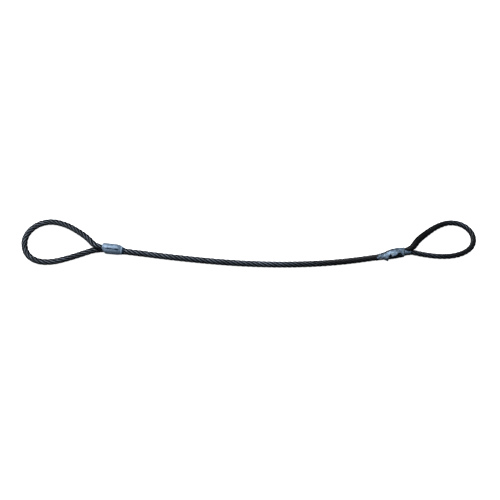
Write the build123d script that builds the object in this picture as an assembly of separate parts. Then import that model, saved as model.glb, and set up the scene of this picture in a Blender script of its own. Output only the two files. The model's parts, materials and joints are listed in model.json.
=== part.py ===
from build123d import *
import math
import os

# A two-eye wire rope sling lying on a floor: one 12 mm steel wire rope, turned back on itself at each end
# as a soft eye and closed there with a pressed aluminium ferrule. The right ferrule is wrapped in tape.
# Millimetres. +X runs along the sling, +Y is towards its back, +Z is up, and the origin is on the floor
# under the sling's middle. The rope is one continuous length; it is divided here where it enters a
# ferrule and where it flexes.

# Driving dimensions
ROPE_D = 12.0
ROPE_R = ROPE_D / 2
CORE_R = 2.3
FERRULE_R = 10.3
FERRULE_L = 3.6 * ROPE_D
CONE_L = 11.0  # length over which the ferrule closes on to the single rope, straight along its bottom
CONE_MOUTH_R = 7.0
CONE_DROP = FERRULE_R - CONE_MOUTH_R  # from the ferrule's axis down to the middle of the cone's mouth
NOSE_L = 6.0  # length of the V at the eye end, where the metal has flowed out over the legs
NOSE_TURN = 30  # degrees from the top of the ferrule to the V's point, towards the front
PITCH = 2.1  # degrees by which two stacked legs lift the ferrule's eye end
LEG_R = 4.8  # a rope leg after pressing
LEG_OFFSET = 4.2  # from the ferrule's axis to each leg's axis
LEG_CORE_R = 1.9
TAPE = 0.5  # wound thickness of the tape
TAPE_TAIL = 18.0  # how far the tape runs on along the single rope
TAPE_SLACK = 0.3  # gap between the rope and the tape at the end of the winding
BAND_START = 1.0  # from the ferrule to the turn of tape on the lower leg
BAND_END = 8.5
CORNER_L = 11.0  # the loose corner of the tape: root along the ferrule, and reach
CORNER_REACH = 5.5
FLEX_OFFSET = 45.0  # from a ferrule's body end to the flex point behind it
FLEX_GAP = 0.6  # clearance between the ball and the cup at a flex point
ARC_SHARE = 0.45  # share of the shorter run that each arc takes
OVERRUN = 3.0  # how far a rope rod runs into a ferrule's space before it is cut flat

# Middle of each ferrule's body end, and the plan angle of its axis from there towards the eye
LEFT_MOUTH = Vector(-279.5, -19.8, 10.4)
LEFT_ANGLE = 174.3
RIGHT_MOUTH = Vector(276.7, -35.2, 10.9)
RIGHT_ANGLE = 10.1

# Route of the rope's centreline: straight runs between these points, with an arc at each corner
LEFT_EYE = [
    (-322.5, -15.5, 18.1),
    (-336, -11, 18.2),
    (-351, 7, 17.5),
    (-372.5, 25, 15),
    (-400, 44, 11),
    (-437, 56, 7),
    (-469.5, 43.5, 6),
    (-486, 13, 6),
    (-477, -24.5, 6),
    (-452, -42.5, 6),
    (-422, -43.5, 6),
    (-391, -34.5, 6),
    (-360, -22.5, 6),
    (-338, -13.5, 6),
    (-322.5, -15.5, 6),
]
RIGHT_EYE = [
    (319.2, -27.6, 18.7),
    (333, -24, 18.6),
    (352, -1.5, 17.3),
    (377, 18.5, 14.7),
    (403.5, 37.5, 11),
    (437, 52, 7),
    (468, 46, 6),
    (486, 22, 6),
    (479.5, -7, 6),
    (458, -25.5, 6),
    (426, -35.5, 6),
    (394, -36, 6),
    (362, -30.5, 6),
    (335, -23.5, 6),
    (319.2, -27.6, 6.5),
]
BODY = [
    (-279.5, -19.8, 6.6),
    (-160, -37.5, 6),
    (-40, -50, 6),
    (75, -54, 6),
    (180, -48, 6),
    (276.7, -35.2, 7.1),
]


def between(a, b, distance):
    """The point on the line from a to b, that far from a."""
    return Vector(a) + (Vector(b) - Vector(a)).normalized() * distance


def corner_radii(points):
    """One arc radius for each inner point: the largest that its two runs allow."""
    radii = []
    for before, at, after in zip(points, points[1:], points[2:]):
        arriving = Vector(at) - Vector(before)
        leaving = Vector(after) - Vector(at)
        half_turn = math.radians(arriving.get_angle(leaving)) / 2
        radii.append(ARC_SHARE * min(arriving.length, leaving.length) / math.tan(half_turn))
    return radii


def tube(points, radii, radius):
    """A round rod along straight runs joined by arcs."""
    if radii:
        path = FilletPolyline(*points, radius=radii)
    else:
        path = Line(*points)
    start = Plane(origin=path @ 0, z_dir=path % 0)
    return sweep(start * Circle(radius), path=path)


def lengthened(points, first=0.0, last=0.0):
    """The same route with its first and last runs made longer at their free ends."""
    start = between(points[0], points[1], -first)
    end = between(points[-1], points[-2], -last)
    return [start, *points[1:-1], end]


def strands_and_core(outer, core_rod):
    """Splits a rope stretch into its tubular layer of strands and its core, ended by the same faces."""
    core = core_rod & outer
    return outer - core_rod, core


def eye(points, room):
    """One eye, whose two legs end flat against the ferrule's eye end."""
    radii = corner_radii(points)
    longer = lengthened(points, OVERRUN, OVERRUN)
    return strands_and_core(tube(longer, radii, ROPE_R) - room, tube(longer, radii, CORE_R))


def knob(points, radius):
    """A sphere round the route's first point, with its poles on the rope."""
    return Plane(origin=points[0], z_dir=Vector(points[1]) - Vector(points[0])) * Sphere(radius)


def tail(mouth, flex, room):
    """The short stretch from a ferrule to the flex point behind it, where it ends in a cup."""
    points = lengthened([mouth, flex], OVERRUN, 0)
    outer = tube(points, [], ROPE_R) - room - knob(points[::-1], ROPE_R + FLEX_GAP)
    return strands_and_core(outer, tube(points, [], CORE_R))


def half(points, radii, start):
    """One half of the body rope. A ball turns inside the cup on the next stretch."""
    outer = tube(points, radii, ROPE_R) + knob(points[::-1], ROPE_R)
    if start == "ball":
        outer += knob(points, ROPE_R)
    else:
        outer -= knob(points, ROPE_R + FLEX_GAP)
    return strands_and_core(outer, tube(lengthened(points, ROPE_D, ROPE_D), radii, CORE_R))


def ferrule_place(mouth, angle):
    """A frame at the ferrule's body end: local Z runs along the ferrule to the eye, local Y is up."""
    plan, rise = math.radians(angle), math.radians(PITCH)
    along = Vector(math.cos(plan) * math.cos(rise), math.sin(plan) * math.cos(rise), math.sin(rise))
    side = Vector(0, 0, 1).cross(along)
    return Plane(origin=mouth, x_dir=side, z_dir=along)


def pressed_leg(up, start):
    """The rope leg inside the ferrule: round, with a flat where the two legs press together."""
    length = FERRULE_L - start
    middle = start + length / 2
    rod = Pos(0, up * LEG_OFFSET, middle) * Cylinder(LEG_R, length)
    side = Pos(0, up * FERRULE_R, middle) * Box(4 * LEG_R, 2 * FERRULE_R, length)
    core = Pos(0, up * LEG_OFFSET, middle) * Cylinder(LEG_CORE_R, length)
    return (rod & side) - core, core


def cone(extra, *more):
    """The ferrule's body end, closing from its full width, and on through any more sections."""
    wide = Plane(origin=(0, 0, CONE_L)) * Circle(FERRULE_R + extra)
    mouth = Plane(origin=(0, -CONE_DROP, 0)) * Circle(CONE_MOUTH_R + extra)
    return loft([wide, mouth, *more], ruled=True)


def sleeve(radius):
    """The ferrule's parallel part."""
    length = FERRULE_L - CONE_L
    return Pos(0, 0, CONE_L + length / 2) * Cylinder(radius, length)


def nose(front):
    """The prism that leaves a V at the eye end, pointing along the ferrule; front is the sign of local X."""
    turn = math.radians(NOSE_TURN)
    towards = Vector(front * math.sin(turn), math.cos(turn), 0)
    across = Vector(towards.Y, -towards.X, 0)
    reach = 2 * FERRULE_R
    outline = Polyline(
        (-reach, -CONE_L),
        (reach, -CONE_L),
        (reach, FERRULE_L - 2 * NOSE_L),
        (0, FERRULE_L),
        (-reach, FERRULE_L - 2 * NOSE_L),
        close=True,
    )
    plane = Plane(origin=(0, 0, 0), x_dir=across, z_dir=-towards)
    return plane * extrude(make_face(outline), amount=reach, both=True)


def ferrule(legs, front):
    """The pressed sleeve, filled by the two legs."""
    body = (cone(0) + sleeve(FERRULE_R)) & nose(front)
    for leg in legs:
        body -= leg
    return body


def above_floor(solid):
    """Flattens a piece against the floor that the sling lies on."""
    reach = 2 * FERRULE_L
    middle = solid.bounding_box().center()
    return solid - Pos(middle.X, middle.Y, -reach / 2) * Box(reach, reach, reach)


def tape_form(place, extra):
    """The space inside the tape, or its outside: the ferrule's shape, then on along the rope."""
    rope_end = place.to_local_coords(between(BODY[-1], BODY[-2], TAPE_TAIL))
    narrow = Plane(origin=rope_end) * Circle(ROPE_R + TAPE_SLACK + extra)
    return place * (sleeve(FERRULE_R + extra) + cone(extra, narrow))


def tape_wrap(place):
    """Tape wound round the right ferrule, then round the single rope behind it."""
    return tape_form(place, TAPE) - tape_form(place, 0)


def tape_band(points):
    """A narrow turn of tape round the lower leg where it enters the ferrule."""
    run = [between(points[-1], points[-2], BAND_START), between(points[-1], points[-2], BAND_END)]
    hole = tube(lengthened(run, 1, 1), [], ROPE_R)
    upper_leg = tube(points[:3], corner_radii(points[:3]), ROPE_R)
    return above_floor(tube(run, [], ROPE_R + TAPE) - hole - upper_leg)


def tape_corner(place):
    """The loose corner of the tape, standing out level on the lower front of the ferrule's cone."""
    outline = Polyline((0, 0), (CORNER_L, 0), (CORNER_L / 2, CORNER_REACH), close=True)
    root = Plane(origin=(-CONE_MOUTH_R, -FERRULE_R / 2, 1), x_dir=(0, 0, 1), z_dir=(0, -1, 0))
    return place * (root * extrude(make_face(outline), TAPE)) - tape_form(place, TAPE)


def save(node, solid):
    export_step(solid, f"parts/{node}.step")


def save_rope(stretch, strands, core):
    save(f"{stretch}_strands", strands)
    save(f"{stretch}_core", core)


def ferrule_room(place):
    """The slab of space that a ferrule's length takes up, which flattens the rope ends against it."""
    return place * Pos(0, 0, FERRULE_L / 2) * Box(6 * ROPE_D, 6 * ROPE_D, FERRULE_L)


def termination(side, place, front, eye_points):
    """Everything that is pressed together at one end of the sling, and its eye."""
    live, live_core = pressed_leg(-1, 0)
    dead, dead_core = pressed_leg(1, CONE_L)
    save(f"{side}_ferrule", place * ferrule([live, live_core, dead, dead_core], front))
    save_rope(f"{side}_live_leg", place * live, place * live_core)
    save_rope(f"{side}_dead_leg", place * dead, place * dead_core)
    save_rope(f"{side}_eye", *eye(eye_points, ferrule_room(place)))


def body_rope(left_place, right_place):
    """The rope between the ferrules, in four stretches that meet at three flex points."""
    radii = corner_radii(BODY)
    left_flex = between(BODY[0], BODY[1], FLEX_OFFSET)
    right_flex = between(BODY[-1], BODY[-2], FLEX_OFFSET)
    mid_flex = (Vector(BODY[2]) + Vector(BODY[3])) * 0.5
    left_points = [left_flex, *BODY[1:3], mid_flex]
    right_points = [mid_flex, *BODY[3:5], right_flex]
    save_rope("left_tail", *tail(BODY[0], left_flex, ferrule_room(left_place)))
    save_rope("left_half", *half(left_points, radii[:2], "ball"))
    save_rope("right_half", *half(right_points, radii[2:], "cup"))
    save_rope("right_tail", *tail(BODY[-1], right_flex, ferrule_room(right_place)))
    for name, flex in (("left", left_flex), ("mid", mid_flex), ("right", right_flex)):
        print(name, "flex point", [round(v, 2) for v in flex])


os.makedirs("parts", exist_ok=True)
left_place = ferrule_place(LEFT_MOUTH, LEFT_ANGLE)
right_place = ferrule_place(RIGHT_MOUTH, RIGHT_ANGLE)
termination("left", left_place, 1, LEFT_EYE)
termination("right", right_place, -1, RIGHT_EYE)
body_rope(left_place, right_place)
save("tape_wrap", tape_wrap(right_place))
save("tape_band", tape_band(RIGHT_EYE))
save("tape_corner", tape_corner(right_place))
for name, route in (("left eye", LEFT_EYE), ("body", BODY), ("right eye", RIGHT_EYE)):
    print(name, "arc radii", [round(r) for r in corner_radii(route)])
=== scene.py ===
import json
import math
from collections import namedtuple

import bpy
import numpy as np
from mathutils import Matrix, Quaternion, Vector
from mathutils.noise import noise as perlin


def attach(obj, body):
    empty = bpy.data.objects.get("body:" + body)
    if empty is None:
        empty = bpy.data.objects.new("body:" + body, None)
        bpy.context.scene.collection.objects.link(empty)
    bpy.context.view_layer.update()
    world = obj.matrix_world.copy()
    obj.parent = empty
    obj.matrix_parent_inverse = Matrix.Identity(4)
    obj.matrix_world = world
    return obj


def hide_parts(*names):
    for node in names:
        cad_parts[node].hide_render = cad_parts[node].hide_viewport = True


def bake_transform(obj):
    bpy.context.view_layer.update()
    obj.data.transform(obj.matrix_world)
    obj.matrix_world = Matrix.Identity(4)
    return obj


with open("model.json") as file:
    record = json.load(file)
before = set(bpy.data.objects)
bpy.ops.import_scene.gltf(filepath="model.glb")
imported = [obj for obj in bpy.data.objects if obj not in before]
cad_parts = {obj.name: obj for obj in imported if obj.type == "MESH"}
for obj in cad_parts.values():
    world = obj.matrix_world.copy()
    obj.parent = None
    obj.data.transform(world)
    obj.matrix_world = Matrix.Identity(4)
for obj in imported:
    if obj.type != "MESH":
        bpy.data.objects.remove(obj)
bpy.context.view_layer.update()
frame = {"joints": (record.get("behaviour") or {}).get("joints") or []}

# Rope, in metres
ROPE_D = 0.012
ROPE_R = ROPE_D / 2
LAY = 0.065  # length along the rope of one full turn of a strand
STRANDS = 6
STRAND_R = 0.0020
STRAND_CENTRE_R = ROPE_R - STRAND_R
CORE_R = ROPE_R - 2 * STRAND_R + 0.0003  # reaches a little into the strands
CORE_SIDES = 16
WIRES = 12  # wires that show round a strand
WIRE_LAY = 0.028  # one turn of a wire round its strand, laid the opposite way
WIRE_POINTS = 4
WIRE_DEPTH = 0.10  # grooves between wires, as a share of the strand's radius
WIRE_SHADE = 0.28  # painted shade: how much darker those grooves are drawn
RING_STEP = 0.0017
# As shares of the rope's radius
GROOVE_FLOOR = 0.70  # no grease is added deeper than this
GREASE_LEVEL = 0.985  # grease fills the grooves up to here
CROWN_LIGHT_FROM = 0.66  # from here outwards the metal is drawn brighter, as wear and painted highlight, fully so after the rise below; the grooves deeper in get painted shade
CROWN_LIGHT_RISE = 0.32

# Ferrules, in metres and degrees
FERRULE_L = 0.0404
PITCH = 2.1  # rise of the ferrules towards their eyes
LIP = 0.0008  # wall that shows at the body end
BEVEL = 0.0003  # small step in at the sleeve's ends
CORNER = 0.0004  # rounding of the collar's edges and of the eye end
NOSE_BACK = 0.0005  # how far the V at the eye end is cut back, behind its point and in front of it
NOSE_FRONT = 0.0066
NOSE_TURN = 30  # from the ferrule's top to the V's point, towards the front
NOSE_FROM = 0.3  # share of the ferrule's length where the V starts to draw its rings back
NOSE_BLUNT = 1.1  # 1 is a sharp V, and more is a rounder one
PRESSED_FROM = 0.7  # share of the ferrule's length where its top starts to be pressed in
COLLAR_R = 0.0076  # black collar behind the left ferrule
COLLAR_L = 0.0040
HIDDEN_ROWS = 3  # rows of the sleeve's surface at each end that face its inside
RIM_AT = 0.0010  # raised rim of the body end: place, half width and height
RIM_W = 0.0008
RIM_HEIGHT = 0.0003
DIE_LINES = (-60, 120)  # where the two dies met
DIE_LINE_W = 0.0006
DIE_LINE_HEIGHT = 0.00022
DENTS = [(0.00016, 0.0070), (0.00006, 0.0022)]  # height, and size across
CREASE_DEPTH = 0.0008
CREASE_FADE = 0.0012  # length over which a crease runs out at each end
# Creases of the ferrule: start and end along it, degrees round it, half width, and share of that depth
CREASES = [
    (0.0065, 0.0150, 32, 0.0015, 1.0),
    (0.0190, 0.0305, 29, 0.0013, 0.8),
    (0.0050, 0.0340, 30, 0.0010, 0.5),
]
# Each ferrule's radius, its radius where it closes on the rope, the length over which it closes, and how
# much the top of its eye end is pressed in
Shape = namedtuple("Shape", "full_r mouth_r cone_l pressed")
LEFT_SHAPE = Shape(0.0111, 0.0086, 0.012, 0.0)
RIGHT_SHAPE = Shape(0.0104, 0.0077, 0.024, 0.0009)
# Middle of each ferrule's body end, and the plan angle from there to the eye
LEFT_MOUTH = (-0.2795, -0.0198, 0.0112)
LEFT_ANGLE = 174.3
RIGHT_MOUTH = (0.2767, -0.0352, 0.0109)
RIGHT_ANGLE = 10.1

# Tape, in metres and degrees
TAPE = 0.0005  # height of the winding over the ferrule
TAPE_SHEET = 0.0003
TAPE_TAIL = 0.020  # how far the winding runs down the rope
TAPE_TURN = 0.0125  # spacing of the winding's edges
TAPE_LAP = 0.00030  # how far each turn stands proud of the last
TAPE_RIBS = 0.00022  # height of the strands that press through behind the ferrule
TAPE_WRINKLES = [(0.00030, 0.0060), (0.00020, 0.0020)]  # height, and size across
TAPE_FOLD = 0.00060  # height of the sharp folds, and their size across
TAPE_FOLD_SIZE = 0.0050
TAPE_LOWEST = 0.0004  # keeps the winding clear of the floor
TAIL_GAP = 0.0004  # extra radius of the tail, as the rope is drawn thicker than its nominal size
TAIL_CLOSING = 1.6  # the tail has closed down on the rope after 1 / 1.6 of its length
BAND_R = 0.0061
BAND_WRINKLES = [(0.00035, 0.0050)]  # height, and size across
BAND_LOWEST = 0.0001
BAND_SHADE = 52  # degrees from the top where painted shade on its underside starts
BAND_BLUR = 20
BAND_FROM = 0.0300  # the band's place on the eye's lower leg, as distances from the rope's end
BAND_TO = 0.0460
BAND_LIFT = 0.0050  # how far its top is stretched up towards the other leg
FLAP_W = 0.0100  # the loose corner's base and length
FLAP_L = 0.0060
FLAP_CURL = 0.0016
FLAP_PLACE = (0.0022, 0.0075, -0.0052)  # middle of its base, along, in front of and above the mouth
# Where the painted shade on the tape's underside starts: distance along the ferrule, and degrees round it
# from the top
TAPE_SHADE = [
    (-0.018, 50), (-0.010, 66), (0.002, 80), (0.0045, 45), (0.0090, 12), (0.0120, 50),
    (0.0185, 46), (0.0220, 38), (0.0245, 20), (0.031, 24), (0.036, 66), (0.040, 55),
]
# Paler (below 0) and darker patches of painted light and shade on the crumpled tape: distance along,
# degrees, half length, half width, shade
TAPE_LIGHT_PATCHES = [
    (0.0000, 35, 0.0040, 25, -0.5),
    (0.0050, 40, 0.0100, 35, -0.3),
    (0.0085, 8, 0.0030, 12, -0.5),
    (0.0220, 30, 0.0020, 12, -0.5),
    (0.0240, -15, 0.0040, 18, 0.45),
    (0.0375, 40, 0.0025, 25, -0.5),
    (0.0400, 30, 0.0008, 90, 0.6),
]

# Control points of the rope's route, chosen to stay within a few millimetres of the model's, with its
# ends carried on inside the ferrules
LEFT_EYE = [
    (-0.2904, -0.0187, 0.0150),
    (-0.3093, -0.0168, 0.0157),
    (-0.3225, -0.0155, 0.0168),
    (-0.3365, -0.0120, 0.0182),
    (-0.3515, 0.0060, 0.0175),
    (-0.3735, 0.0238, 0.0150),
    (-0.4008, 0.0428, 0.0110),
    (-0.4370, 0.0548, 0.0072),
    (-0.4693, 0.0431, 0.0064),
    (-0.4860, 0.0128, 0.0064),
    (-0.4770, -0.0247, 0.0064),
    (-0.4520, -0.0436, 0.0064),
    (-0.4210, -0.0454, 0.0064),
    (-0.3905, -0.0366, 0.0064),
    (-0.3600, -0.0250, 0.0064),
    (-0.3390, -0.0165, 0.0064),
    (-0.3225, -0.0165, 0.0070),
    (-0.3093, -0.0170, 0.0073),
    (-0.2904, -0.0187, 0.0066),
]
RIGHT_EYE = [
    (0.2875, -0.0317, 0.0147),
    (0.3066, -0.0270, 0.0143),
    (0.3197, -0.0253, 0.0144),
    (0.3366, -0.0219, 0.0172),
    (0.3526, -0.0012, 0.0172),
    (0.3774, 0.0180, 0.0147),
    (0.4038, 0.0369, 0.0110),
    (0.4370, 0.0511, 0.0070),
    (0.4682, 0.0457, 0.0062),
    (0.4862, 0.0217, 0.0062),
    (0.4803, -0.0080, 0.0062),
    (0.4585, -0.0266, 0.0062),
    (0.4262, -0.0362, 0.0062),
    (0.3942, -0.0365, 0.0062),
    (0.3620, -0.0315, 0.0062),
    (0.3350, -0.0245, 0.0062),
    (0.3192, -0.0280, 0.0074),
    (0.3062, -0.0301, 0.0078),
    (0.2875, -0.0333, 0.0071),
]
BODY = [
    (-0.2904, -0.0187, 0.0068),
    (-0.2795, -0.0200, 0.0068),
    (-0.1600, -0.0380, 0.0068),
    (-0.0400, -0.0512, 0.0068),
    (0.0750, -0.0553, 0.0068),
    (0.1800, -0.0496, 0.0068),
    (0.2767, -0.0356, 0.0072),
    (0.2875, -0.0333, 0.0072),
]
# Share of the nominal thickness, in the eyes at distances along the rope
LEFT_EYE_THICKNESS = [(0.0, 0.98), (0.04, 1.06)]
RIGHT_EYE_THICKNESS = [
    (0.036, 0.92), (0.056, 1.20), (0.09, 1.24), (0.13, 1.12), (0.17, 1.02), (0.36, 0.98),
]
BODY_THICKNESS = 1.12
# Grease packed over the strands, at distances along each rope
LEFT_EYE_GREASE = [(0.0, 0.05)]
RIGHT_EYE_GREASE = [
    (0.04, 0.85), (0.10, 0.75), (0.14, 0.35), (0.17, 0.05), (0.21, 0.0), (0.25, 0.30), (0.30, 0.25),
    (0.36, 0.05),
]
BODY_GREASE = [
    (0.0, 0.05), (0.18, 0.05), (0.25, 0.02), (0.34, 0.0), (0.41, 0.10), (0.48, 0.40), (0.58, 0.55),
]
# Each stretch of the body: the flex point it bends at, the bodies joined there, half the length over
# which it bends, and what it replaces
BENDS = [
    ("left", "left_end", "left_half", 0.040, ["left_tail_strands", "left_tail_core"]),
    ("mid", "left_half", "right_half", 0.060,
     ["left_half_strands", "left_half_core", "right_half_strands", "right_half_core"]),
    ("right", "right_half", "right_end", 0.025, ["right_tail_strands", "right_tail_core"]),
]

# Sockets of a Mix node that mixes colours
MIX_A = 6
MIX_B = 7
MIX_RESULT = 2


def new_material(name):
    """A new material with a Principled shader, its node tree and that shader."""
    material = bpy.data.materials.new(name)
    material.use_nodes = True
    tree = material.node_tree
    return material, tree, tree.nodes["Principled BSDF"]


def link(tree, source, output, target, socket):
    tree.links.new(source.outputs[output], target.inputs[socket])


def noise(tree, scale, detail=4.0, roughness=0.55):
    """Noise fixed to the object, the scale being in spots per metre."""
    node = tree.nodes.new("ShaderNodeTexNoise")
    node.inputs["Scale"].default_value = scale
    node.inputs["Detail"].default_value = detail
    node.inputs["Roughness"].default_value = roughness
    place = tree.nodes.new("ShaderNodeTexCoord")
    link(tree, place, "Object", node, "Vector")
    return node


def ramp(tree, source, output, stops):
    """A colour ramp on one output, each stop being a position and a grey or a colour."""
    node = tree.nodes.new("ShaderNodeValToRGB")
    while len(node.color_ramp.elements) < len(stops):
        node.color_ramp.elements.new(0.5)
    for element, (position, colour) in zip(node.color_ramp.elements, stops):
        element.position = position
        element.color = (*colour, 1) if isinstance(colour, tuple) else (colour, colour, colour, 1)
    link(tree, source, output, node, "Fac")
    return node


def paint(tree, shader, tone, shade):
    """Gives the shader one ramp's colour, darkened by another's."""
    node = tree.nodes.new("ShaderNodeMix")
    node.data_type = "RGBA"
    node.blend_type = "MULTIPLY"
    node.inputs["Factor"].default_value = 1.0
    link(tree, tone, "Color", node, MIX_A)
    link(tree, shade, "Color", node, MIX_B)
    link(tree, node, MIX_RESULT, shader, "Base Color")


def soil_and_shade(tree, shader, tone, stops):
    """Paints the tone, darker and less glossy where the attribute is high, for painted shade and dirt, and
    paler where it is low, for painted highlights.
    """
    dirt = attribute(tree, "dirt")
    paint(tree, shader, tone, ramp(tree, dirt, "Fac", stops))
    gloss = ramp(tree, dirt, "Fac", [(0.0, 0.5), (1.0, 0.05)])
    link(tree, gloss, "Color", shader, "Specular IOR Level")


def bump(tree, shader, height, strength, distance):
    node = tree.nodes.new("ShaderNodeBump")
    node.inputs["Strength"].default_value = strength
    node.inputs["Distance"].default_value = distance
    link(tree, height, "Fac", node, "Height")
    link(tree, node, "Normal", shader, "Normal")


def attribute(tree, name):
    node = tree.nodes.new("ShaderNodeAttribute")
    node.attribute_name = name
    return node


def rope_material():
    """Drawn steel wire, dark with grease, with painted shade in the grooves and the crowns drawn brighter
    as wear and painted highlight.
    """
    material, tree, shader = new_material("rope_steel")
    # from painted shade in the grooves up to wear and painted highlight on the crowns
    painted_light_and_wear = ramp(tree, attribute(tree, "painted_light_and_wear"), "Fac", [
        (0.0, (0.003, 0.004, 0.005)),
        (0.62, (0.006, 0.008, 0.010)),
        (0.86, (0.058, 0.071, 0.090)),
        (1.0, (0.230, 0.276, 0.345)),
    ])
    paint(tree, shader, painted_light_and_wear, ramp(tree, noise(tree, 45.0), "Fac", [(0.30, 0.45), (0.70, 1.0)]))
    smear = ramp(tree, noise(tree, 160.0, detail=6.0), "Fac", [(0.30, 0.34), (0.75, 0.62)])
    link(tree, smear, "Color", shader, "Roughness")
    shader.inputs["Metallic"].default_value = 0.85
    wet = ramp(tree, attribute(tree, "grease"), "Fac", [(0.0, 0.0), (0.5, 0.65), (0.75, 0.15)])
    link(tree, wet, "Color", shader, "Coat Weight")
    shader.inputs["Coat Roughness"].default_value = 0.30
    bump(tree, shader, noise(tree, 2200.0, detail=3.0), strength=0.25, distance=0.0001)
    return material


def ferrule_material():
    """Pressed aluminium: blue-grey and scuffed, darker where its attribute carries painted shade or dirt,
    paler at painted highlights.
    """
    material, tree, shader = new_material("ferrule_aluminium")
    tone = ramp(tree, noise(tree, 120.0, detail=6.0), "Fac", [
        (0.25, (0.22, 0.31, 0.43)),
        (0.55, (0.33, 0.46, 0.62)),
        (0.80, (0.48, 0.60, 0.76)),
    ])
    soil_and_shade(tree, shader, tone, [(0.0, 1.0), (0.3, 0.60), (1.0, (0.04, 0.06, 0.08))])
    grain = noise(tree, 420.0, detail=8.0, roughness=0.7)
    scuffs = ramp(tree, grain, "Fac", [(0.35, 0.42), (0.70, 0.66)])
    link(tree, scuffs, "Color", shader, "Roughness")
    shader.inputs["Metallic"].default_value = 0.35
    bump(tree, shader, noise(tree, 700.0, detail=8.0, roughness=0.65), strength=0.35, distance=0.0003)
    return material


def tape_material():
    """Crumpled silver tape, drawn greyer and darker in its folds and underside, as painted shade."""
    material, tree, shader = new_material("silver_tape")
    tone = ramp(tree, noise(tree, 150.0, detail=6.0), "Fac", [
        (0.28, (0.110, 0.180, 0.250)),
        (0.55, (0.235, 0.345, 0.475)),
        (0.78, (0.470, 0.565, 0.635)),
    ])
    soil_and_shade(tree, shader, tone, [(0.0, 1.0), (0.25, 0.55), (1.0, 0.02)])
    sheen = ramp(tree, noise(tree, 300.0, detail=6.0), "Fac", [(0.30, 0.36), (0.75, 0.60)])
    link(tree, sheen, "Color", shader, "Roughness")
    shader.inputs["Metallic"].default_value = 0.35
    bump(tree, shader, noise(tree, 420.0, detail=7.0, roughness=0.6), strength=0.55, distance=0.0005)
    return material


def floor_material():
    """White paper that glows a little, so that soft shadows wash out."""
    material, tree, shader = new_material("floor_paper")
    tone = ramp(tree, noise(tree, 3.0, detail=2.0), "Fac", [(0.3, 0.88), (0.7, 0.92)])
    link(tree, tone, "Color", shader, "Base Color")
    shader.inputs["Roughness"].default_value = 0.9
    shader.inputs["Emission Color"].default_value = (1, 1, 1, 1)
    shader.inputs["Emission Strength"].default_value = 0.85
    return material


def unit(vectors):
    return vectors / np.linalg.norm(vectors, axis=-1, keepdims=True)


def full_turn(count):
    """Angles evenly spaced round a full turn."""
    return np.arange(count) * 2 * math.pi / count


def signed_degrees(turn):
    """The same angles in degrees, from -180 to 180."""
    return np.degrees((turn + math.pi) % (2 * math.pi) - math.pi)


def rise(value, start, length):
    """0 up to the start, then rising evenly to 1 over the length."""
    return np.clip((value - start) / length, 0, 1)


def bell(distance, half_width):
    """1 at no distance, falling smoothly on both sides to about a third at the half width."""
    return np.exp(-((distance / half_width) ** 2))


def along_rope(at, stops):
    """A value read between the stops, each a distance along the rope and the value there."""
    return np.interp(at, [stop[0] for stop in stops], [stop[1] for stop in stops])


def relief(places, size):
    """Uneven heights from -1 to 1, about the given size across, at an array of places."""
    flat = places.reshape(-1, 3) / size
    return np.array([perlin(Vector(place)) for place in flat]).reshape(places.shape[:-1])


def rough(places, layers):
    """The sum of several reliefs, each layer being a height and a size across."""
    return sum(height * relief(places, size) for height, size in layers)


def add_object(name, data):
    item = bpy.data.objects.new(name, data)
    bpy.context.scene.collection.objects.link(item)
    return item


def route_line(name, points):
    """Points along the route's smooth line, read from a NURBS spline through the given control points."""
    curve = bpy.data.curves.new(name, "CURVE")
    curve.dimensions = "3D"
    curve.resolution_u = 40
    spline = curve.splines.new("NURBS")
    spline.points.add(len(points) - 1)
    for point, place in zip(spline.points, points):
        point.co = (*place, 1.0)
    spline.order_u = 3
    spline.use_endpoint_u = True
    holder = add_object(name, curve)
    mesh = bpy.data.meshes.new_from_object(holder)
    line = np.array([vertex.co for vertex in mesh.vertices])
    bpy.data.objects.remove(holder)
    bpy.data.meshes.remove(mesh)
    return line


def evenly(line):
    """The same line at an even spacing near RING_STEP, with the distance of each point from the start."""
    lengths = np.linalg.norm(np.diff(line, axis=0), axis=1)
    along = np.concatenate([[0], np.cumsum(lengths)])
    at = np.linspace(0, along[-1], int(round(along[-1] / RING_STEP)) + 1)
    return np.stack([np.interp(at, along, line[:, k]) for k in range(3)], axis=1), at


def frames(line):
    """Unit vectors across a line at each of its points: level to its left, and up."""
    tangent = unit(np.gradient(line, axis=0))
    left = unit(np.cross([0, 0, 1], tangent))
    return left, np.cross(tangent, left)


def rings_round(centres, first, second, turn, radius):
    """Rings of points round a line, their angles measured from the first direction towards the second."""
    return (
        centres[:, None, :]
        + (np.cos(turn) * radius)[:, :, None] * first[:, None, :]
        + (np.sin(turn) * radius)[:, :, None] * second[:, None, :]
    )


def grid_faces(rings, around, closed=True):
    """Quads between neighbouring rings of points."""
    columns = around if closed else around - 1
    faces = []
    for ring in range(rings - 1):
        for column in range(columns):
            after = (column + 1) % around
            low, high = ring * around, (ring + 1) * around
            faces.append((low + column, low + after, high + after, high + column))
    return faces


def tube_faces(rings, around, start=0):
    """Quads along a tube and a cap on each of its ends, its points counted from the start."""
    faces = grid_faces(rings, around)
    faces.append(tuple(range(around))[::-1])
    faces.append(tuple(range((rings - 1) * around, rings * around)))
    return [tuple(i + start for i in face) for face in faces]


def make_piece(name, points, faces, material, body=None, **values):
    """A mesh object with smooth faces and a float value for each point in every named attribute."""
    mesh = bpy.data.meshes.new(name)
    mesh.from_pydata(points.reshape(-1, 3).tolist(), [], faces)
    for key, data in values.items():
        layer = mesh.attributes.new(key, "FLOAT", "POINT")
        layer.data.foreach_set("value", data.ravel().astype(np.float32))
    mesh.materials.append(material)
    for polygon in mesh.polygons:
        polygon.use_smooth = True
    mesh.update()
    piece = add_object(name, mesh)
    if body:
        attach(piece, body)
    return piece


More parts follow.
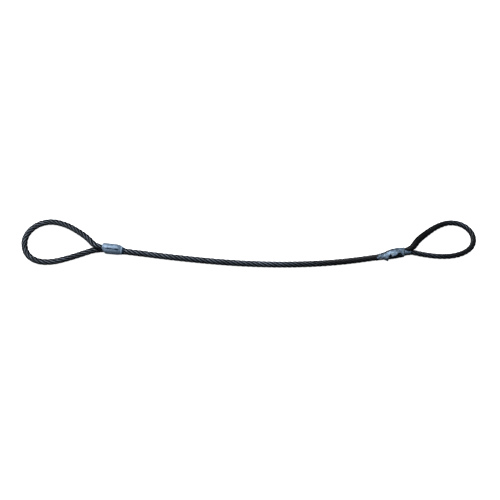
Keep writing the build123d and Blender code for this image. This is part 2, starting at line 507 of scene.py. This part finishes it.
def strand_profile():
    """Angles, radii and crown heights round a strand, with one round lobe for each wire."""
    angle = full_turn(WIRES * WIRE_POINTS)
    lobe = np.abs(np.cos(angle * WIRES / 2))
    return angle, STRAND_R * (1 - WIRE_DEPTH + WIRE_DEPTH * lobe), lobe


def strand_rings(line, at, size, across, strand):
    """Rings of points round one strand, which winds round the rope's line."""
    left, up = across
    angle, radius, _ = strand_profile()
    turn = 2 * math.pi * (strand / STRANDS + at / LAY)
    out = np.cos(turn)[:, None] * left + np.sin(turn)[:, None] * up
    centre = line + out * (STRAND_CENTRE_R * size)[:, None]
    forward = unit(np.gradient(centre, axis=0))
    side = unit(np.cross(forward, out))
    wire_turn = angle - 2 * math.pi * (at / WIRE_LAY)[:, None]
    return rings_round(centre, np.cross(side, forward), side, wire_turn, radius * size[:, None])


def rope_mesh(line, at, size, grease):
    """Points, faces and point values of six strands round a core, size being 1 at full thickness."""
    across = frames(line)
    angle, _, lobe = strand_profile()
    points, faces, painted_light_and_wear, wet = [], [], [], []
    for strand in range(STRANDS):
        ring = strand_rings(line, at, size, across, strand)
        reach = np.linalg.norm(ring - line[:, None, :], axis=2) / (ROPE_R * size)[:, None]
        filled = grease[:, None] * np.maximum(GREASE_LEVEL - reach, 0) * (reach > GROOVE_FLOOR)
        ring = line[:, None, :] + (ring - line[:, None, :]) * (1 + filled / reach)[:, :, None]
        faces += tube_faces(len(line), len(angle), strand * reach.size)
        points.append(ring.reshape(-1, 3))
        # painted shade deep in the grooves and between the wires, wear and painted highlight on the crowns
        shine = rise(reach, CROWN_LIGHT_FROM, CROWN_LIGHT_RISE) * (1 - WIRE_SHADE + WIRE_SHADE * lobe)
        painted_light_and_wear.append((shine * (1 - grease)[:, None]).ravel())
        wet.append(np.repeat(grease, len(angle)))
    core = rings_round(line, *across, full_turn(CORE_SIDES)[None, :], CORE_R * size[:, None])
    faces += tube_faces(len(line), CORE_SIDES, STRANDS * len(line) * len(angle))
    points.append(core.reshape(-1, 3))
    hidden = np.zeros(len(points[-1]))
    values = {"painted_light_and_wear": np.concatenate([*painted_light_and_wear, hidden]), "grease": np.concatenate([*wet, hidden])}
    return np.concatenate(points), faces, values


def rope_piece(name, line, at, size, grease, first, last, material):
    """One stretch of rope, cut from the whole route between two distances along it."""
    use = (at >= first) & (at <= last)
    points, faces, values = rope_mesh(line[use], at[use], size[use], grease[use])
    return make_piece(name, points, faces, material, **values), line[use]


def squeeze(at, inside, opening, least):
    """The rope's share of its full thickness: least inside a ferrule, then opening out from there."""
    share = rise(np.minimum(at, at[-1] - at), inside, opening)
    return least + (1 - least) * share * share * (3 - 2 * share)


def eye_rope(side, route, body, thickness, grease, material):
    """One soft eye and its two legs, from end to end of its ferrule and round the loop."""
    line, at = evenly(route_line(side, route))
    size = along_rope(at, thickness) * squeeze(at, inside=0.026, opening=0.020, least=0.84)
    wet = along_rope(at, grease)
    piece, path = rope_piece(f"{side}_eye_rope", line, at, size, wet, 0, at[-1], material)
    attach(piece, body)
    for stretch in ("eye", "live_leg", "dead_leg"):
        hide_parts(f"{side}_{stretch}_strands", f"{side}_{stretch}_core")
    return path


def nearest(line, place):
    """Which point of a line is nearest to a place."""
    return np.argmin(np.linalg.norm(line - place, axis=1))


def index_at(at, distance):
    """Which point of a rope is nearest to a distance along it."""
    return np.argmin(np.abs(at - distance))


def body_rope(material):
    """The rope between the ferrules: three stretches, each round one flex point."""
    line, at = evenly(route_line("body", BODY))
    size = BODY_THICKNESS * squeeze(at, inside=0.002, opening=0.010, least=0.85)
    wet = along_rope(at, BODY_GREASE)
    flexes = {joint["name"]: np.array(joint["pos_m"]) for joint in frame["joints"]}
    middles = [at[nearest(line, flexes[f"{bend[0]}_flex"])] for bend in BENDS]
    joins = [at[index_at(at, (a + b) / 2)] for a, b in zip(middles, middles[1:])]
    cuts = [0.0, *joins, at[-1]]
    for bend, middle, first, last in zip(BENDS, middles, cuts, cuts[1:]):
        name, first_body, second_body, reach, nodes = bend
        piece, path = rope_piece(f"{name}_body_rope", line, at, size, wet, first, last, material)
        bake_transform(piece)
        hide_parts(*nodes)


def ferrule_axes(mouth, angle):
    """The body end's middle and unit vectors along the ferrule, to its front and up."""
    plan, pitch = math.radians(angle), math.radians(PITCH)
    level = math.cos(pitch)
    along = np.array([math.cos(plan) * level, math.sin(plan) * level, math.sin(pitch)])
    side = unit(np.cross([0, 0, 1], along))
    front = side if side[1] < 0 else -side
    return np.array(mouth), along, front, np.cross(along, side)


def cone_row(s, shape, extra=0.0):
    """Place, radius and drop of the ferrule's surface, its body end closing with a soft shoulder."""
    closing = math.sin(math.pi / 2 * min(s / shape.cone_l, 1))
    radius = shape.mouth_r + (shape.full_r - shape.mouth_r) * closing
    press = shape.pressed * rise(s / FERRULE_L, PRESSED_FROM, 1 - PRESSED_FROM)
    return s, radius - press + extra, shape.full_r - radius + 2 * press


def ferrule_rows(shape, collar):
    """The sleeve's rows from inside its body end, over the collar and the outside, to inside its eye end.

    A row is a place along the ferrule, a radius, and how far the row's middle lies below the axis."""
    end_r = shape.full_r - shape.pressed
    mouth_r = COLLAR_R if collar else shape.mouth_r
    drop = shape.full_r - mouth_r
    eye_drop = 2 * shape.pressed
    lip_in = [
        (0.0040, mouth_r - LIP, drop),
        (-collar, mouth_r - LIP, drop),
        (-collar, mouth_r - BEVEL, drop),
    ]
    if collar:
        lip_in += [(-collar + CORNER, mouth_r, drop), (-CORNER, mouth_r, drop)]
    outside = [cone_row(s, shape) for s in np.linspace(BEVEL, FERRULE_L - 2 * BEVEL, 110)]
    lip_out = [
        (FERRULE_L, end_r - CORNER, eye_drop),
        (FERRULE_L, end_r - 0.0011, eye_drop),
        (FERRULE_L - 0.0010, end_r - 0.0014, eye_drop),
        (FERRULE_L - 0.0060, end_r - 0.0018, eye_drop),
    ]
    return np.array(lip_in + outside + lip_out)


def nose_shift(s, turn):
    """How far a ring is drawn back on both sides of the V's point, more towards the eye end."""
    share = rise(s, NOSE_FROM * FERRULE_L, (1 - NOSE_FROM) * FERRULE_L)
    across = np.sin(turn - math.radians(NOSE_TURN))
    return np.where(across > 0, NOSE_FRONT, NOSE_BACK) * share**2 * np.abs(across) ** NOSE_BLUNT


def crease_depth(s, turn, radius):
    """Shares from 0 to 1 of the creases' full depth."""
    depth = np.zeros(s.shape)
    for start, end, degrees, half_width, share in CREASES:
        ends = rise(np.minimum(s - start, end - s), 0, CREASE_FADE)
        across = (turn - math.radians(degrees)) * radius
        depth = np.maximum(depth, share * bell(across, half_width) * ends)
    return depth


def ferrule_height(points, s, turn, radius, crease):
    """How far the sleeve's surface stands out: dents, creases, the body end's rim and the die lines."""
    height = rough(points, DENTS) - CREASE_DEPTH * crease
    height += RIM_HEIGHT * bell(s - RIM_AT, RIM_W)
    for degrees in DIE_LINES:
        across = (turn - math.radians(degrees % 360)) * radius
        height += DIE_LINE_HEIGHT * bell(across, DIE_LINE_W) * rise(s, 0.010, 0.004)
    return height


def ferrule_dirt(points, s, turn, crease):
    """Painted light on the sleeve: painted shade in the creases, darker on top and paler low down, uneven
    like scuffs, and a painted highlight on the rim.
    """
    # darker on top and paler low down, as painted light, with uneven tone
    painted_light_and_tone = 0.20 + 0.26 * np.cos(turn) + 0.28 * relief(points, 0.0045)
    # painted highlight along the body end's rim
    rim_highlight = 0.6 * bell(s - 0.0012, 0.0010)
    return np.clip(1.3 * crease + np.clip(painted_light_and_tone - rim_highlight, 0, 1), 0, 1)


def ferrule_piece(side, axes, shape, body, collar, material):
    """The pressed sleeve, with rolled lips, dents, die lines, creases along its front and any collar."""
    mouth, along, front, up = axes
    around = 144
    end_r = shape.full_r - shape.pressed
    turn = full_turn(around)
    radial = np.cos(turn)[:, None] * up + np.sin(turn)[:, None] * front
    place, radius, drop = ferrule_rows(shape, collar).T
    s = place[:, None] - nose_shift(place[:, None], turn)
    points = mouth + s[:, :, None] * along - drop[:, None, None] * up + radius[:, None, None] * radial
    inside = np.r_[:HIDDEN_ROWS, len(s) - HIDDEN_ROWS:len(s)]
    crease = crease_depth(s, turn, end_r)
    height = ferrule_height(points, s, turn, end_r, crease)
    height[inside] = 0
    points = points + height[:, :, None] * radial
    dirt = ferrule_dirt(points, s, turn, crease)
    # painted shade on the rows that face the sleeve's inside
    dirt[inside] = 0.9
    dirt[s < -CORNER / 2] = 1  # the collar is black all over
    piece = make_piece(f"{side}_sleeve", points, tube_faces(len(s), around), material, body, dirt=dirt)
    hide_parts(f"{side}_ferrule")


def tape_piece(name, node, points, faces, dirt, material):
    """A sheet of tape that rides on the right end and stands for one node."""
    piece = make_piece(name, points, faces, material, "right_end", dirt=dirt)
    piece.modifiers.new("thickness", "SOLIDIFY").thickness = TAPE_SHEET
    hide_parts(node)


def tape_rings(axes, shape, radial):
    """The winding's rings before it is wrinkled, and their places along the ferrule, the rope's first."""
    mouth, along, _, up = axes
    tail_start = mouth - (shape.full_r - shape.mouth_r) * up
    tail_end = np.array(BODY[-2]) + TAPE_TAIL * unit(np.array(BODY[-3]) - np.array(BODY[-2]))
    closing = ROPE_R + TAIL_GAP - shape.mouth_r
    step = 0.0004  # about the spacing of the rings
    tail_s = np.linspace(-TAPE_TAIL, -step, 44)
    over_s = np.linspace(0, FERRULE_L + step, 106)
    rings = []
    for s in tail_s:
        share = -s / TAPE_TAIL
        radius = shape.mouth_r + TAPE + closing * min(1, TAIL_CLOSING * share)
        rings.append(tail_start + (tail_end - tail_start) * share + radius * radial)
    for s in over_s:
        _, radius, drop = cone_row(s, shape, TAPE)
        rings.append(mouth + s * along - drop * up + radius * radial)
    return np.array(rings), np.concatenate([tail_s, over_s])


def tape_pull(points, s, angle):
    """How far the winding's surface is pulled away from the eye: a torn edge there, and slanting ends."""
    torn = rise(s, FERRULE_L - 0.004, 0.004) * (0.0010 + 0.0012 * relief(points, 0.0050))
    eye_slant = 0.0045 * rise(s, 0.032, 0.008) * rise(-angle, -10, 40)
    rope_slant = 0.45 * np.minimum(s, 0) * rise(-angle, -30, 60)
    return torn - eye_slant + rope_slant


def tape_dirt(points, s, angle, edge, grooves):
    """Painted light on the winding: painted shade along its edges, in its grooves and over its underside,
    paler and darker patches, darker behind, and uneven tone.
    """
    dark = 0.25 + 0.45 * edge + 0.45 * grooves
    for place, degrees, half_l, half_w, shade in TAPE_LIGHT_PATCHES:
        dark += shade * bell(s - place, half_l) * bell(angle - degrees, half_w)
    underside = rise(angle, along_rope(s, TAPE_SHADE), 8)
    behind = 0.9 * rise(-angle, 15, 12) * rise(-s, -0.021, 0.004)
    dark = np.maximum(np.maximum(dark, underside), behind)
    return np.clip(dark + 0.40 * relief(points, 0.0030), 0, 1)


def tape_wrap_piece(axes, shape, material):
    """Tape wound over the ferrule and on to the rope: overlapping turns, wrinkled, its ends ragged."""
    _, along, front, up = axes
    around = 160
    turn = full_turn(around)
    radial = np.cos(turn)[:, None] * up + np.sin(turn)[:, None] * front
    points, s = tape_rings(axes, shape, radial)
    s = s[:, None]
    angle = signed_degrees(turn)
    # overlapping turns of the tape, each standing proud of the last
    wound = (s / TAPE_TURN + turn / (2 * math.pi)) % 1
    edge = bell(np.minimum(wound, 1 - wound), 0.05)
    # strands of the rope pressing through behind the ferrule
    through = rise(-s, 0, 0.004)
    strands = np.cos(STRANDS * (turn + 2 * math.pi * s / LAY))
    height = TAPE_LAP * (1 - wound) + TAPE_RIBS * through * strands + rough(points, TAPE_WRINKLES)
    height += TAPE_FOLD * (0.4 - np.abs(relief(points, TAPE_FOLD_SIZE)))
    points = points + height[:, :, None] * radial
    points[:, :, 2] = np.maximum(points[:, :, 2], TAPE_LOWEST)
    points = points - tape_pull(points, s, angle)[:, :, None] * along
    # painted shade along the turns' edges and between the strands that press through
    dark = tape_dirt(points, s, angle, edge, through * np.clip(-strands, 0, 1))
    tape_piece("tape_winding", "tape_wrap", points, grid_faces(len(s), around), dark, material)


def tape_band_piece(path, material):
    """A turn of tape round the lower leg, just outside the ferrule."""
    around = 72
    out = np.linalg.norm(path - path[-1], axis=1)
    lower_leg = np.arange(len(path)) > len(path) / 2
    line = path[lower_leg & (out > BAND_FROM) & (out < BAND_TO)]
    left, up = frames(line)
    turn = full_turn(around)[None, :]
    radial = np.cos(turn)[:, :, None] * up[:, None, :] + np.sin(turn)[:, :, None] * left[:, None, :]
    points = line[:, None, :] + BAND_R * radial
    points = points + rough(points, BAND_WRINKLES)[:, :, None] * radial
    points[:, :, 2] += BAND_LIFT * np.clip(np.cos(turn), 0, 1)
    points[:, :, 2] = np.maximum(points[:, :, 2], BAND_LOWEST)
    # painted shade on the band's underside, uneven at random
    below = (signed_degrees(turn) - BAND_SHADE) / BAND_BLUR
    dark = np.clip(below + 0.25 * relief(points, 0.0035), 0, 1)
    tape_piece("tape_turn", "tape_band", points, grid_faces(len(line), around), dark, material)


def tape_corner_piece(axes, material):
    """The loose corner of the tape, standing out below the winding and curling up at its point."""
    mouth, *directions = axes
    steps = 14
    points, reach = [], []
    for row in range(steps):
        out = row / (steps - 1)
        for column in range(steps):
            across = (column / (steps - 1) - 0.5) * FLAP_W * (1 - out) ** 0.8
            ripple = 0.0005 * math.sin(9 * across / FLAP_W + 3 * out)
            offset = np.array(FLAP_PLACE) + (across, FLAP_L * out, FLAP_CURL * out**2 + ripple)
            points.append(mouth + offset @ np.array(directions))
            reach.append(out)
    points = np.array(points)
    # painted shade, darker towards its point
    dark = np.clip(1.6 * np.array(reach) + 0.4 * relief(points, 0.0030), 0, 1)
    tape_piece("tape_flap", "tape_corner", points, grid_faces(steps, steps, closed=False), dark, material)


def camera():
    """The view of the sling from the front and above, turned a little so that the sling lies level."""
    data = bpy.data.cameras.new("camera")
    data.sensor_width = 36
    data.lens = 40.4
    eye = add_object("camera", data)
    target = Vector((-0.0118, -0.0147, 0))
    distance = 1.2
    elevation, azimuth, roll = math.radians(60), math.radians(-8), math.radians(6.7)
    back = Vector((
        math.cos(elevation) * math.sin(azimuth),
        -math.cos(elevation) * math.cos(azimuth),
        math.sin(elevation),
    ))
    eye.location = target + back * distance
    eye.rotation_mode = "QUATERNION"
    eye.rotation_quaternion = (-back).to_track_quat("-Z", "Y") @ Quaternion((0, 0, 1), roll)
    bpy.context.scene.camera = eye


def floor(material):
    """A plain white floor under the sling."""
    mesh = bpy.data.meshes.new("floor")
    half = 6.0
    corners = [(-half, -half, 0), (half, -half, 0), (half, half, 0), (-half, half, 0)]
    mesh.from_pydata(corners, [], [(0, 1, 2, 3)])
    mesh.materials.append(material)
    plane = add_object("floor", mesh)
    plane.visible_diffuse = False  # its glow doesn't light the sling or show in the metal
    plane.visible_glossy = False


def lamp(name, place, size, power):
    """A square soft light that points at the sling."""
    data = bpy.data.lights.new(name, "AREA")
    data.shape = "SQUARE"
    data.size = size
    data.energy = power
    light = add_object(name, data)
    light.location = place
    light.rotation_mode = "QUATERNION"
    light.rotation_quaternion = (-Vector(place)).to_track_quat("-Z", "Y")


def lighting():
    """A large soft light overhead, a little behind, in a room that is pale above and dark low down."""
    world = bpy.data.worlds.new("studio")
    world.use_nodes = True
    tree = world.node_tree
    background = tree.nodes["Background"]
    place = tree.nodes.new("ShaderNodeTexCoord")
    height = tree.nodes.new("ShaderNodeSeparateXYZ")
    link(tree, place, "Generated", height, "Vector")
    room = ramp(tree, height, "Z", [
        (0.0, (0.03, 0.034, 0.038)),
        (0.5, (0.30, 0.33, 0.37)),
        (1.0, (0.78, 0.84, 0.92)),
    ])
    link(tree, room, "Color", background, "Color")
    background.inputs["Strength"].default_value = 0.8
    bpy.context.scene.world = world
    lamp("key", (-0.40, 0.45, 1.65), size=1.2, power=38)


camera()
rope_steel = rope_material()
eye_rope("left", LEFT_EYE, "left_end", LEFT_EYE_THICKNESS, LEFT_EYE_GREASE, rope_steel)
right_path = eye_rope("right", RIGHT_EYE, "right_end", RIGHT_EYE_THICKNESS, RIGHT_EYE_GREASE, rope_steel)
body_rope(rope_steel)
ferrule_metal = ferrule_material()
left_axes = ferrule_axes(LEFT_MOUTH, LEFT_ANGLE)
right_axes = ferrule_axes(RIGHT_MOUTH, RIGHT_ANGLE)
ferrule_piece("left", left_axes, LEFT_SHAPE, "left_end", COLLAR_L, ferrule_metal)
ferrule_piece("right", right_axes, RIGHT_SHAPE, "right_end", 0, ferrule_metal)
silver_tape = tape_material()
tape_wrap_piece(right_axes, RIGHT_SHAPE, silver_tape)
tape_band_piece(right_path, silver_tape)
tape_corner_piece(right_axes, silver_tape)
floor(floor_material())
lighting()
bpy.context.scene.view_settings.view_transform = "Standard"
